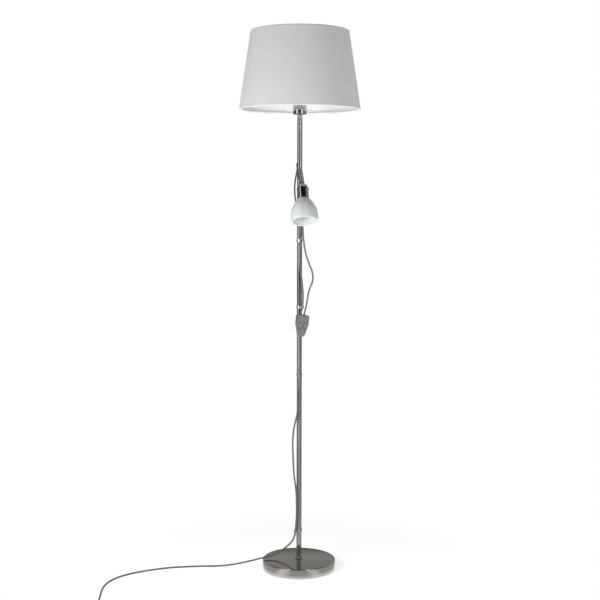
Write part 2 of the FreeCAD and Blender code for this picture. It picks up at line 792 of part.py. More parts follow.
def rocker(x):
    """One key: a bowed face, a narrower back, and a trunnion that sticks out at both sides."""
    half_h = ROCKER_HALF_H
    profile = [(-11.8, half_h), (-13.0, 4.2), (ROCKER_CREST_Y, 0.0), (-13.0, -4.2), (-11.8, -half_h)]
    profile += [(-8.6, -half_h + 0.3), (-6.3, -2.2), (-6.3, 2.2), (-8.6, half_h - 0.3)]
    corners = [V(x - ROCKER_HALF_W, y, z) for y, z in profile]
    solid = Part.Face(Part.makePolygon(corners + corners[:1])).extrude(V(2 * ROCKER_HALF_W, 0, 0))
    pivot = V(x, ROCKER_PIVOT_Y, 0)
    reach = ROCKER_HALF_W + TRUNNION_R
    trunnion = Part.makeCylinder(TRUNNION_R, 2 * reach, pivot - X_AXIS * reach, X_AXIS)
    solid = solid.fuse(trunnion).removeSplitter()
    solid.rotate(pivot, X_AXIS, ROCKER_TILT)
    return placed_switch(solid)


def switch_contacts():
    """Brass terminals behind each rocker, on a thin insulating strip."""
    strip = block(V(-11.5, 4.6, -9.5), V(11.5, 6.4, 11.5))
    strip = strip.cut(Part.makeCylinder(4.0, 4, V(0, 3.6, 24.5), Y_AXIS))
    for x in (-ROCKER_X, ROCKER_X):
        for z in (-6.5, 6.5):
            strip = strip.fuse(block(V(x - 2.5, -1.5, z - 1.2), V(x + 2.5, 4.8, z + 1.2)))
    return placed_switch(strip.removeSplitter())


def switch_screws():
    screws = []
    for x, z in SCREW_SPOTS:
        shank = Part.makeCylinder(1.4, 8.0, V(x, 1.2, z), Y_AXIS)
        head = Part.makeCylinder(2.6, 1.6, V(x, SWITCH_HALF_DEPTH - 2.2, z), Y_AXIS)
        low = V(x - 1.8, SWITCH_HALF_DEPTH - 1.2, z - 0.35)
        high = V(x + 1.8, SWITCH_HALF_DEPTH, z + 0.35)
        screws.append(placed_switch(shank.fuse(head).cut(block(low, high))))
    return Part.makeCompound(screws)


def lead_nubs():
    """Rubber sleeves that grip the three leads where they enter the switch."""
    nubs = []
    spots = [(-LEAD_X, LEAD_Y, 1), (LEAD_X, LEAD_Y, 1), (0.0, LEAD_Y - 0.5, -1)]
    for x, y, up in spots:
        tip = SWITCH_HALF_H + NUB_H - 1.5
        sleeve = Part.makeCylinder(CORD_R + 0.4, 6.0, V(x, y, up * (tip - 6.0)), Z_AXIS * up)
        flange = Part.makeCone(NUB_R, CORD_R + 0.8, NUB_H - 1.5, V(x, y, up * SWITCH_HALF_H), Z_AXIS * up)
        nubs.append(placed_switch(sleeve.fuse(flange).removeSplitter()))
    return Part.makeCompound(nubs)


# ---- mains coil and plug ----
def mains_coil():
    coil = ring(COIL_OUT_R, COIL_IN_R, 0.1, COIL_H, COIL_CENTRE)
    tail_end = V(PLUG_X[0], TAIL_START.y, PLUG_AXIS_Z)
    return coil.fuse(rod_between(CORD_R, TAIL_START, tail_end)).removeSplitter()


def plug_section(x, half_w, half_h):
    y = TAIL_START.y
    z = PLUG_AXIS_Z
    corner_h = 0.45 * half_h
    corner_w = 0.62 * half_w
    points = [
        (half_w, -corner_h), (half_w, corner_h), (corner_w, half_h), (-corner_w, half_h),
        (-half_w, corner_h), (-half_w, -corner_h), (-corner_w, -half_h), (corner_w, -half_h),
    ]
    corners = [V(x, y + dy, z + dz) for dy, dz in points]
    return Part.makePolygon(corners + corners[:1])


def plug_body():
    start, neck, face = PLUG_X
    axis = V(start, TAIL_START.y, PLUG_AXIS_Z)
    relief = Part.makeCone(3.4, 5.4, neck - start + 4, axis, X_AXIS)
    stations = [(neck, 0.40, 0.85), (neck + 12, 0.62, 1.0), (face - 9, 1.0, 1.0), (face, 1.0, 1.0)]
    sections = [plug_section(x, PLUG_HALF_W * w, PLUG_HALF_H * h) for x, w, h in stations]
    body = Part.makeLoft(sections, True, True)
    solid = relief.fuse(body).removeSplitter()
    for side in (-1, 1):
        root = V(face - PIN_ROOT_LENGTH, TAIL_START.y + side * PIN_HALF_SPACING, PLUG_AXIS_Z)
        solid = solid.cut(Part.makeCylinder(PIN_ROOT_R, PIN_ROOT_LENGTH + 1, root, X_AXIS))
    return solid


def plug_pins():
    pins = []
    for side in (-1, 1):
        face = V(PLUG_X[2], TAIL_START.y + side * PIN_HALF_SPACING, PLUG_AXIS_Z)
        pin = Part.makeCylinder(PIN_R, PIN_LENGTH, face, X_AXIS)
        pin = round_edges(pin, 0.8, lambda e: e.BoundBox.XMin > PLUG_X[2] + PIN_LENGTH - 0.1)
        root = Part.makeCylinder(PIN_ROOT_R, PIN_ROOT_LENGTH + 1, face - X_AXIS * PIN_ROOT_LENGTH, X_AXIS)
        pins.append(pin.fuse(root).removeSplitter())
    return Part.makeCompound(pins)


def clip_lead_points():
    """Where each clip holds its lead: the routes' own points at the clips' heights."""
    found = []
    for height in CLIP_HEIGHTS:
        route = LAMP_LEAD if height > SWITCH_CENTRE.z else MAINS_LEAD
        found.append(min(route, key=lambda p: abs(p[2] - height)))
    return found


def parts():
    made = {
        "base_cover": base_cover(),
        "base_weight": base_weight(),
        "base_pad": base_pad(),
        "base_washer": base_washer(),
        "base_nut": base_nut(),
        "foot_nipple": nipple(7.0, 55.0),
        "foot_insert": ring(POLE_BORE_R, NIPPLE_R, BASE_TOP, 55.0),
        "foot_collar": foot_collar(),
        "pole_lower": pole_tube(BASE_TOP, POLE_JOINTS[0]),
        "pole_middle": pole_tube(*POLE_JOINTS),
        "pole_upper": pole_upper(),
        "pole_coupler_lower": coupler(POLE_JOINTS[0]),
        "pole_coupler_upper": coupler(POLE_JOINTS[1]),
        "pole_top_insert": ring(POLE_BORE_R, NIPPLE_R, 1315.0, POLE_TOP),
        "lamp_lead_outlet": outlet(*LAMP_OUTLET),
        "reading_lead_outlet": outlet(*READING_OUTLET),
        "lamp_wires": lamp_wires(),
        "reading_wires": reading_wires(),
        "arm_tube": arm_tube(),
        "arm_end_bush": arm_end_bush(),
        "swivel_stem": swivel_stem(),
        "tilt_pin": tilt_pin(),
        "reading_cup": reading_cup(),
        "reading_lampholder": reading_lampholder(),
        "reading_thread_shell": reading_thread_shell(),
        "reading_contact": reading_contact(),
        "glass_ring": glass_ring(),
        "glass_shade": glass_shade(),
        "reading_bulb_cap": reading_bulb_cap(),
        "reading_bulb_glass": reading_bulb_glass(),
        "top_nipple": nipple(1315.0, 1348.0),
        "socket_cup": socket_cup(),
        "lampholder_body": lampholder_body(),
        "lampholder_shell": lampholder_shell(),
        "lampholder_contact": lampholder_contact(),
        "bulb_cap": bulb_cap(),
        "bulb_glass": bulb_glass(),
        "shade_ring_lower": shade_ring(HUB_Z - HUB_HALF - SHADE_RING_H),
        "shade_ring_upper": shade_ring(HUB_Z + HUB_HALF),
        "shade_spider": shade_spider(),
        "shade_top_ring": shade_top_ring(),
        "shade_liner": shade_liner(),
        "shade_fabric": shade_fabric(),
        "switch_front_shell": switch_front_shell(),
        "switch_back_shell": switch_back_shell(),
        "rocker_left": rocker(-ROCKER_X),
        "rocker_right": rocker(ROCKER_X),
        "switch_contacts": switch_contacts(),
        "switch_screws": switch_screws(),
        "switch_lead_nubs": lead_nubs(),
        "lamp_lead": cord_tube("lamp_lead", LAMP_LEAD),
        "reading_lead": cord_tube("reading_lead", READING_LEAD),
        "mains_lead": cord_tube("mains_lead", MAINS_LEAD),
        "mains_coil": mains_coil(),
        "plug_body": plug_body(),
        "plug_pins": plug_pins(),
    }
    for number, (height, point) in enumerate(zip(CLIP_HEIGHTS, clip_lead_points()), 1):
        made[f"cable_clip_{number}"] = clip(height, point)
    return made


def main():
    os.makedirs("parts", exist_ok=True)
    made = parts()
    for name, shape in made.items():
        if not shape.isValid():
            print(f"{name} is not a valid shape")
        shape.exportStep(f"parts/{name}.step")
    print(f"{len(made)} parts; coil holds {COIL_TURNS * 2 * math.pi * COIL_TURN_R:.0f} mm of lead")


main()
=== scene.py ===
"""Looks of a floor lamp with a fabric shade and a small glass reading lamp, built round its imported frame.

Everything is in metres, +Z up, with the origin on the floor under the base and -Y towards the viewer.
Outlines and names that end in _MM are in millimetres. Named angles are in degrees, but for those of the
seam and the coil, which are in radians.
"""

import functools
import json
import math

import bmesh
import bpy
from mathutils import Matrix, Vector


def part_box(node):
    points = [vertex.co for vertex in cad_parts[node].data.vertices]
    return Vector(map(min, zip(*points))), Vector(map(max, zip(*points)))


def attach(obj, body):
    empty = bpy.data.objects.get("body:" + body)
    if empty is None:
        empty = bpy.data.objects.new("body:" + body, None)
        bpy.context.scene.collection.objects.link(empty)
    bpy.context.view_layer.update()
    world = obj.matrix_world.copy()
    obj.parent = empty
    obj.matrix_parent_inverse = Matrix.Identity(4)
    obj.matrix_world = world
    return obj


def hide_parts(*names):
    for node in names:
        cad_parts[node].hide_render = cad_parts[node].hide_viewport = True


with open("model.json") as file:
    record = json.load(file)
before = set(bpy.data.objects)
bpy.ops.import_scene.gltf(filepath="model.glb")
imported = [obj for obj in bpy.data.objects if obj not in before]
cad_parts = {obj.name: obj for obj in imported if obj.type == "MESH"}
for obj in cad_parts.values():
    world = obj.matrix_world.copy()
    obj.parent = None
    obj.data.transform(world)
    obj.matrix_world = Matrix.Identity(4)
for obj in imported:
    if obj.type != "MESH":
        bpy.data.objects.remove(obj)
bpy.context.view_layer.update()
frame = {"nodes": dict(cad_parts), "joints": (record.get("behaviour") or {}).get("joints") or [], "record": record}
nodes = frame["nodes"]
scene = bpy.context.scene

MM = 0.001
UP = Vector((0, 0, 1))

# ---- driving sizes ----
LEAD_R = 0.0025
POLE_R_MM = 7.5
POLE_BORE_R_MM = 6.5
NIPPLE_HOLE_R_MM = 5.0
SHADE_BOTTOM_R_MM = 175.0
SHADE_TOP_R_MM = 141.0
CLOTH_THICKNESS = 0.0005
THREAD_PITCH = 0.00085
THREAD_WANDER = 0.0009
HEAD_TILT = 22.0
SWITCH_CENTRE = Vector((0.0066, -0.019, 0.726))
SWITCH_YAW = 15.0
SWITCH_ROLL = 6.0
SHARP_ANGLE = 35.0


# ---- materials ----
def add_node(tree, kind, inputs=None, **settings):
    """Adds a shader node with the given settings. An input takes a value, or the socket that feeds it."""
    made = tree.nodes.new(kind)
    for key, value in settings.items():
        setattr(made, key, value)
    for key, value in (inputs or {}).items():
        if isinstance(value, bpy.types.NodeSocket):
            tree.links.new(value, made.inputs[key])
        else:
            made.inputs[key].default_value = value
    return made


class Surface:
    """A material under construction: its principled shader, and short ways to add texture nodes."""

    def __init__(self, name, **values):
        self.material = bpy.data.materials.new(name)
        self.material.use_nodes = True
        self.tree = self.material.node_tree
        self.shader = self.tree.nodes["Principled BSDF"]
        for socket, value in values.items():
            self.shader.inputs[socket.replace("_", " ")].default_value = value
        self.coords = self.node("ShaderNodeTexCoord").outputs["Object"]

    def node(self, kind, inputs=None, **settings):
        return add_node(self.tree, kind, inputs, **settings)

    def math(self, operation, a, b=0.0):
        return self.node("ShaderNodeMath", {0: a, 1: b}, operation=operation).outputs[0]

    def stretched(self, x, y, z, vector=None):
        inputs = {"Vector": vector or self.coords, "Scale": (x, y, z)}
        return self.node("ShaderNodeMapping", inputs).outputs[0]

    def noise(self, scale, detail=3.0, vector=None, roughness=0.55):
        inputs = {"Vector": vector or self.coords, "Scale": scale, "Detail": detail, "Roughness": roughness}
        return self.node("ShaderNodeTexNoise", inputs).outputs["Fac"]

    def ramp(self, factor, low, high, start=0.3, end=0.7):
        """Maps a texture's value from start..end to low..high."""
        inputs = {"Value": factor, "From Min": start, "From Max": end, "To Min": low, "To Max": high}
        return self.node("ShaderNodeMapRange", inputs).outputs["Result"]

    def tint(self, factor, first, second):
        made = self.node("ShaderNodeMix", {"Factor": factor}, data_type="RGBA")
        made.inputs["A"].default_value = (*first, 1.0)
        made.inputs["B"].default_value = (*second, 1.0)
        return made.outputs["Result"]

    def drive(self, **links):
        for socket, output in links.items():
            self.tree.links.new(output, self.shader.inputs[socket.replace("_", " ")])

    def drift(self, factor, first, second):
        """A colour that drifts between two shades with a texture's value."""
        self.drive(Base_Color=self.tint(self.ramp(factor, 0.0, 1.0), first, second))

    def relief(self, height, distance, strength):
        inputs = {"Height": height, "Distance": distance, "Strength": strength}
        self.drive(Normal=self.node("ShaderNodeBump", inputs).outputs["Normal"])

    def round_z(self):
        """The angle round the Z axis, and the height."""
        split = self.node("ShaderNodeSeparateXYZ", {"Vector": self.coords}).outputs
        return self.math("ARCTAN2", split["Y"], split["X"]), split["Z"]


def metal(name, colour, roughness, streak, streak_scale, smudge):
    """Bright metal: fine lines round its axis, faint handling marks, and a colour that drifts a little."""
    s = Surface(name, Metallic=1.0)
    lines = s.noise(1.0, 2.0, s.stretched(*streak_scale))
    marks = s.noise(38.0, 4.0)
    cloud = s.noise(9.0, 2.0)
    base = s.ramp(marks, roughness, roughness + smudge)
    s.drive(Roughness=s.math("ADD", base, s.ramp(lines, -streak, streak)))
    s.drift(cloud, colour, tuple(0.93 * c for c in colour))
    return s.material


def moulded(name, colour, roughness, grain_scale, grain_depth, **values):
    """Moulded plastic or rubber: fine grain, slight shade differences and uneven gloss."""
    s = Surface(name, **values)
    grain = s.noise(grain_scale, 3.0)
    cloud = s.noise(25.0, 3.0)
    s.drift(cloud, colour, tuple(0.9 * c for c in colour))
    s.drive(Roughness=s.ramp(grain, roughness - 0.05, roughness + 0.07))
    s.relief(grain, grain_depth, 0.5)
    return s.material


def shade_cloth():
    """Plain-woven cotton on the shade: threads round and up it, thicker slubs here and there."""
    s = Surface("shade_fabric", Roughness=0.92, Sheen_Weight=0.25, Sheen_Roughness=0.5,
                Specular_IOR_Level=0.2)
    angle, height = s.round_z()
    arc = s.math("MULTIPLY", angle, 0.5 * (SHADE_BOTTOM_R_MM + SHADE_TOP_R_MM) * MM)
    cloth = s.node("ShaderNodeCombineXYZ", {"X": arc, "Y": height}).outputs[0]
    wander = s.node("ShaderNodeTexNoise", {"Vector": cloth, "Scale": 60.0, "Detail": 2.0}).outputs["Color"]
    shift = {0: wander, 1: (THREAD_WANDER, THREAD_WANDER, 0.0)}
    shifted = s.node("ShaderNodeVectorMath", shift, operation="MULTIPLY").outputs[0]
    place = s.node("ShaderNodeVectorMath", {0: cloth, 1: shifted}, operation="ADD").outputs[0]
    parts = s.node("ShaderNodeSeparateXYZ", {"Vector": place}).outputs
    pitch = 2.0 * math.pi / THREAD_PITCH
    warp = s.math("SINE", s.math("MULTIPLY", parts["X"], pitch))
    weft = s.math("SINE", s.math("MULTIPLY", parts["Y"], pitch))
    over = s.math("MULTIPLY", warp, weft)
    slub_up = s.noise(1.0, 3.0, s.stretched(900.0, 28.0, 1.0, cloth))
    slub_round = s.noise(1.0, 3.0, s.stretched(28.0, 900.0, 1.0, cloth))
    slubs = s.math("ADD", slub_up, slub_round)
    thickness = s.math("ADD", s.math("MULTIPLY", over, 0.5), s.math("MULTIPLY", slubs, 1.6))
    cloud = s.noise(7.0, 2.0)
    shade = s.math("ADD", s.ramp(slubs, 0.0, 0.6, 0.7, 1.3), s.ramp(cloud, 0.0, 0.25))
    s.drive(Base_Color=s.tint(shade, (0.725, 0.747, 0.733), (0.675, 0.697, 0.683)))
    s.relief(thickness, 0.0001, 0.4)
    return s.material


def shade_lining():
    """White styrene sheet with a faint roller texture."""
    s = Surface("shade_liner", Specular_IOR_Level=0.35)
    roll = s.noise(1.0, 3.0, s.stretched(260.0, 260.0, 40.0))
    s.drift(s.noise(6.0, 2.0), (0.81, 0.81, 0.80), (0.77, 0.77, 0.76))
    s.drive(Roughness=s.ramp(roll, 0.38, 0.52))
    s.relief(roll, 0.00006, 0.4)
    return s.material


def frosted_glass():
    """Etched white glass: cloudy through its wall, with a soft skin."""
    s = Surface("frosted_glass", Transmission_Weight=0.06, IOR=1.5, Coat_Weight=0.25, Coat_Roughness=0.35)
    etch = s.noise(900.0, 2.0)
    s.drift(s.noise(30.0, 3.0), (0.74, 0.765, 0.77), (0.71, 0.74, 0.75))
    s.drive(Roughness=s.ramp(etch, 0.40, 0.52))
    s.relief(etch, 0.00001, 0.15)
    return s.material


def opal_bulb():
    """Opal-coated bulb: glossy glass, and slight clouds in the coating."""
    s = Surface("bulb_glass", Transmission_Weight=0.15, IOR=1.45, Coat_Weight=0.6, Coat_Roughness=0.04)
    cloud = s.noise(60.0, 3.0)
    s.drift(cloud, (0.90, 0.90, 0.88), (0.86, 0.865, 0.85))
    s.drive(Roughness=s.ramp(cloud, 0.18, 0.28))
    return s.material


def clear_clip():
    """Clear moulded plastic with flow lines in it."""
    s = Surface("clip_plastic", Transmission_Weight=0.88, IOR=1.49)
    flow = s.noise(1.0, 3.0, s.stretched(300.0, 300.0, 900.0))
    s.drift(flow, (0.95, 0.96, 0.955), (0.86, 0.875, 0.87))
    s.drive(Roughness=s.ramp(flow, 0.08, 0.22))
    s.relief(flow, 0.00005, 0.4)
    return s.material


def lead_sheath():
    """Silver-grey PVC sheath: a soft gloss, patches a little darker than others, and scuffs."""
    s = Surface("lead_sheath", Specular_IOR_Level=0.5, Coat_Weight=0.15, Coat_Roughness=0.3)
    scuff = s.noise(420.0, 4.0)
    s.drift(s.noise(18.0, 3.0), (0.17, 0.17, 0.163), (0.12, 0.12, 0.115))
    s.drive(Roughness=s.ramp(scuff, 0.34, 0.50))
    s.relief(scuff, 0.00004, 0.4)
    return s.material


def cast_iron():
    """Rough sand-cast skin."""
    s = Surface("cast_iron", Metallic=0.4)
    sand = s.noise(320.0, 6.0, roughness=0.7)
    s.drift(s.noise(28.0, 3.0), (0.035, 0.034, 0.033), (0.075, 0.07, 0.066))
    s.drive(Roughness=s.ramp(sand, 0.55, 0.8))
    s.relief(sand, 0.0004, 0.7)
    return s.material


MATERIALS = {
    "satin_nickel": metal("satin_nickel", (0.56, 0.54, 0.50), 0.10, 0.012, (30.0, 30.0, 900.0), 0.03),
    "bright_nickel": metal("bright_nickel", (0.62, 0.605, 0.57), 0.05, 0.008, (30.0, 30.0, 900.0), 0.02),
    "zinc_steel": metal("zinc_steel", (0.58, 0.59, 0.58), 0.32, 0.08, (500.0, 500.0, 500.0), 0.10),
    "brass": metal("brass", (0.72, 0.52, 0.24), 0.20, 0.05, (60.0, 60.0, 1500.0), 0.08),
    "bulb_metal": metal("bulb_metal", (0.70, 0.70, 0.71), 0.26, 0.05, (40.0, 40.0, 1800.0), 0.08),
    "pin_metal": metal("pin_metal", (0.66, 0.64, 0.58), 0.16, 0.04, (1800.0, 60.0, 60.0), 0.06),
    "cast_iron": cast_iron(),
    "foot_pad": moulded("foot_pad", (0.035, 0.035, 0.036), 0.78, 700.0, 0.0003),
    "white_wire": moulded("white_wire", (0.80, 0.80, 0.785), 0.38, 520.0, 0.00008),
    "holder_plastic": moulded("holder_plastic", (0.80, 0.80, 0.775), 0.34, 600.0, 0.00005),
    "inner_wire": moulded("inner_wire", (0.74, 0.74, 0.71), 0.45, 500.0, 0.00005),
    "switch_plastic": moulded("switch_plastic", (0.165, 0.165, 0.150), 0.27, 1500.0, 0.00004,
                              Coat_Weight=0.5, Coat_Roughness=0.14),
    "lead_sheath": lead_sheath(),
    "bulb_glass": opal_bulb(),
    "frosted_glass": frosted_glass(),
    "clip_plastic": clear_clip(),
    "shade_fabric": shade_cloth(),
    "shade_liner": shade_lining(),
}


def paint_nodes():
    """Each carried-over node takes the material of its own slot."""
    for part in frame["record"]["subparts"]:
        for slot in nodes[part["node"]].material_slots:
            slot.material = MATERIALS[part["material_slot"]]


# ---- mesh helpers ----
def finished(piece, body, slot):
    """Puts the piece on its body, in its slot, with that slot's material."""
    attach(piece, body)
    piece.data.materials.clear()
    piece.data.materials.append(MATERIALS[slot])
    return piece


def mesh_piece(name, points, faces):
    mesh = bpy.data.meshes.new(name)
    mesh.from_pydata([tuple(p) for p in points], [], faces)
    mesh.validate()
    mesh.shade_smooth()
    mesh.set_sharp_from_angle(angle=math.radians(SHARP_ANGLE))
    piece = bpy.data.objects.new(name, mesh)
    scene.collection.objects.link(piece)
    return piece


def rounded(outline, steps=5):
    """A closed outline of (r, z) or (r, z, radius) corners, with an arc at each one that has a radius."""
    points = []
    count = len(outline)
    for k, corner in enumerate(outline):
        here = Vector(corner[:2])
        radius = corner[2] if len(corner) > 2 else 0.0
        if not radius:
            points.append(here)
            continue
        back = (Vector(outline[k - 1][:2]) - here).normalized()
        on = (Vector(outline[(k + 1) % count][:2]) - here).normalized()
        half = back.angle(on) / 2.0
        middle = here + (back + on).normalized() * (radius / math.sin(half))
        first = here + back * (radius / math.tan(half)) - middle
        sweep = first.angle_signed(here + on * (radius / math.tan(half)) - middle)
        for step in range(steps + 1):
            turn = Matrix.Rotation(-sweep * step / steps, 2)
            points.append(middle + turn @ first)
    return points


def lathe(name, outline, place=Matrix.Identity(4), segments=96, closed=True, angles=None, swell=None):
    """Spins an outline about Z. swell(angle, r, z) may move a point outwards."""
    if angles is None:
        angles = [2.0 * math.pi * k / segments for k in range(segments)]
    points = []
    for angle in angles:
        for r, z in outline:
            radius = r + (swell(angle, r, z) if swell else 0.0)
            local = Vector((radius * math.cos(angle), radius * math.sin(angle), z)) * MM
            points.append(place @ local)
    size = len(outline)
    faces = []
    for turn in range(len(angles)):
        here, after = turn * size, (turn + 1) % len(angles) * size
        for k in range(size if closed else size - 1):
            following = (k + 1) % size
            faces.append((here + k, after + k, after + following, here + following))
    piece = mesh_piece(name, points, faces)
    tidy_normals(piece.data)
    return piece


def tidy_normals(mesh):
    """Joins points that coincide and turns every face outwards."""
    work = bmesh.new()
    work.from_mesh(mesh)
    bmesh.ops.remove_doubles(work, verts=work.verts, dist=1e-7)
    bmesh.ops.recalc_face_normals(work, faces=work.faces)
    work.to_mesh(mesh)
    work.free()


def smooth_through(points, steps):
    """A Catmull-Rom line through 2-D points, with the given steps from each point to the next."""
    ends = [2 * Vector(points[0]) - Vector(points[1])] + [Vector(p) for p in points]
    ends.append(2 * Vector(points[-1]) - Vector(points[-2]))
    line = []
    for a, b, c, d in zip(ends, ends[1:], ends[2:], ends[3:]):
        for step in range(steps):
            t = step / steps
            line.append(0.5 * (2 * b + (c - a) * t + (2 * a - 5 * b + 4 * c - d) * t * t
                               + (3 * b - a - 3 * c + d) * t ** 3))
    line.append(Vector(points[-1]))
    return line


def offset_line(line, distance):
    """The 2-D line moved to its left by distance."""
    moved = []
    for k, here in enumerate(line):
        along = (line[min(k + 1, len(line) - 1)] - line[max(k - 1, 0)]).normalized()
        moved.append(here + Vector((-along.y, along.x)) * distance)
    return moved


def apply_modifiers(piece):
    """Replaces the piece's mesh by what its modifiers make of it."""
    bpy.context.view_layer.update()
    graph = bpy.context.evaluated_depsgraph_get()
    result = bpy.data.meshes.new_from_object(piece.evaluated_get(graph))
    piece.modifiers.clear()
    piece.data = result


def bevel_edges(piece, width, over_angle):
    """Rounds the piece's edges where its faces turn by more than over_angle."""
    modifier = piece.modifiers.new("edges", "BEVEL")
    modifier.width = width
    modifier.segments = 3
    modifier.limit_method = "ANGLE"
    modifier.angle_limit = math.radians(over_angle)
    modifier.harden_normals = False
    apply_modifiers(piece)


# ---- camera ----
CAMERA_PLACE = (0.0016, -3.3323, 1.0884)
CAMERA_LOOKS_DOWN = 4.957
CAMERA_ROLL = 0.13
LENS_MM = 68.87
SENSOR_MM = 36.0


def add_camera():
    """In front of the lamp, level with the reading lamp's bell and looking a little down."""
    data = bpy.data.cameras.new("camera")
    data.lens = LENS_MM
    data.sensor_width = SENSOR_MM
    camera = bpy.data.objects.new("camera", data)
    scene.collection.objects.link(camera)
    look_down = Matrix.Rotation(math.radians(90.0 - CAMERA_LOOKS_DOWN), 4, "X")
    roll = Matrix.Rotation(math.radians(CAMERA_ROLL), 4, "Z")
    camera.matrix_world = Matrix.Translation(CAMERA_PLACE) @ look_down @ roll
    scene.camera = camera


# ---- leads ----
LAMP_LEAD = [
    (-0.0065, 0.0113, 1.1840),
    (-0.0082, 0.0104, 1.1700),
    (-0.0116, 0.0064, 1.1550),
    (-0.0140, 0.0010, 1.1390),
    (-0.0148, -0.0042, 1.1210),
    (-0.0138, -0.0088, 1.1030),
    (-0.0108, -0.0124, 1.0830),
    (-0.0062, -0.0144, 1.0610),
    (-0.0012, -0.0146, 1.0380),
    (0.0024, -0.0134, 1.0160),
    (0.0044, -0.0122, 0.9940),
    (0.0036, -0.0114, 0.9730),
    (0.0016, -0.0118, 0.9520),
    (0.0002, -0.0123, 0.9290),
    (0.0004, -0.0125, 0.9080),
    (0.0028, -0.0123, 0.8870),
    (0.0060, -0.0118, 0.8650),
    (0.0086, -0.0112, 0.8420),
    (0.0104, -0.0102, 0.8200),
    (0.0103, -0.0099, 0.7990),
    (0.0086, -0.0108, 0.7790),
    (0.0058, -0.0142, 0.7685),
    (0.0042, -0.0160, 0.7593),
]
READING_LEAD = [
    (0.0072, -0.0102, 1.1160),
    (0.0084, -0.0120, 1.0980),
    (0.0097, -0.0141, 1.0780),
    (0.0102, -0.0155, 1.0560),
    (0.0097, -0.0160, 1.0340),
    (0.0092, -0.0162, 1.0120),
    (0.0098, -0.0166, 0.9920),
    (0.0118, -0.0170, 0.9720),
    (0.0144, -0.0168, 0.9510),
    (0.0198, -0.0162, 0.9280),
    (0.0282, -0.0156, 0.9040),
    (0.0364, -0.0152, 0.8850),
    (0.0396, -0.0149, 0.8660),
    (0.0364, -0.0146, 0.8490),
    (0.0300, -0.0143, 0.8360),
    (0.0258, -0.0140, 0.8210),
    (0.0234, -0.0138, 0.8040),
    (0.0202, -0.0136, 0.7860),
    (0.0162, -0.0134, 0.7700),
    (0.0138, -0.0134, 0.7583),
]
MAINS_LEAD = [
    (0.0024, -0.0170, 0.6917),
    (0.0016, -0.0159, 0.6770),
    (0.0013, -0.0142, 0.6600),
    (0.0018, -0.0129, 0.6400),
    (0.0026, -0.0121, 0.6180),
    (0.0029, -0.0117, 0.5980),
    (0.0021, -0.0116, 0.5790),
    (-0.0008, -0.0122, 0.5610),
    (-0.0040, -0.0127, 0.5420),
    (-0.0052, -0.0129, 0.5220),
    (-0.0044, -0.0129, 0.5030),
    (-0.0036, -0.0130, 0.4870),
    (-0.0052, -0.0132, 0.4700),
    (-0.0090, -0.0129, 0.4520),
    (-0.0136, -0.0118, 0.4330),
    (-0.0170, -0.0106, 0.4120),
    (-0.0188, -0.0098, 0.3870),
    (-0.0186, -0.0094, 0.3600),
    (-0.0174, -0.0092, 0.3320),
    (-0.0166, -0.0092, 0.3050),
    (-0.0146, -0.0096, 0.2800),
    (-0.0112, -0.0104, 0.2570),
    (-0.0082, -0.0112, 0.2330),
    (-0.0072, -0.0116, 0.2070),
    (-0.0068, -0.0117, 0.1800),
    (-0.0074, -0.0114, 0.1550),
    (-0.0088, -0.0106, 0.1330),
    (-0.0102, -0.0094, 0.1140),
    (-0.0126, -0.0076, 0.0990),
    (-0.0176, -0.0046, 0.0860),
    (-0.0256, -0.0006, 0.0746),
    (-0.0356, 0.0036, 0.0640),
    (-0.0474, 0.0060, 0.0536),
    (-0.0610, 0.0054, 0.0446),
    (-0.0760, 0.0016, 0.0384),
    (-0.0906, -0.0054, 0.0358),
    (-0.1046, -0.0120, 0.0348),
    (-0.1200, -0.0156, 0.0316),
    (-0.1376, -0.0154, 0.0272),
    (-0.1570, -0.0126, 0.0216),
    (-0.1790, -0.0088, 0.0156),
    (-0.2030, -0.0046, 0.0102),
    (-0.2280, 0.0000, 0.0059),
    (-0.2540, 0.0040, 0.0034),
    (-0.2800, 0.0054, 0.0027),
    (-0.3060, 0.0036, 0.0026),
    (-0.3320, 0.0006, 0.0026),
    (-0.3580, -0.0036, 0.0026),
    (-0.3840, -0.0102, 0.0026),
    (-0.4100, -0.0196, 0.0026),
    (-0.4360, -0.0314, 0.0026),
    (-0.4610, -0.0450, 0.0026),
    (-0.4850, -0.0610, 0.0026),
    (-0.5070, -0.0800, 0.0026),
    (-0.5260, -0.1030, 0.0026),
    (-0.5400, -0.1300, 0.0026),
    (-0.5480, -0.1610, 0.0026),
    (-0.5506, -0.1940, 0.0026),
    (-0.5490, -0.2270, 0.0026),
    (-0.5460, -0.2600, 0.0026),
    (-0.5442, -0.2920, 0.0026),
    (-0.5437, -0.3160, 0.0026),
    (-0.5435, -0.3380, 0.0026),
]
COIL_CENTRE = Vector((-0.5125, -0.352, 0.0))
COIL_TURNS = 3.25
COIL_POINTS_PER_TURN = 18
COIL_START_ANGLE = math.pi
COIL_OUTER_R = 0.0314
COIL_INNER_R = 0.0259
COIL_LOW_Z = 0.0026
COIL_HIGH_Z = 0.00765
# the turns over which the coil draws in, climbs onto its first turns, and spreads out again
COIL_DRAWS_IN = (0.80, 1.03)
COIL_CLIMBS = (1.75, 1.95)
COIL_SPREADS = (2.35, 2.85)
TAIL = [(-0.5010, -0.3826, 0.0075), (-0.4930, -0.3812, 0.0071), (-0.4850, -0.3803, 0.0070)]


def eased(value, start, end):
    """0 before start, 1 after end, and a smooth rise between."""
    t = min(max((value - start) / (end - start), 0.0), 1.0)
    return t * t * (3.0 - 2.0 * t)


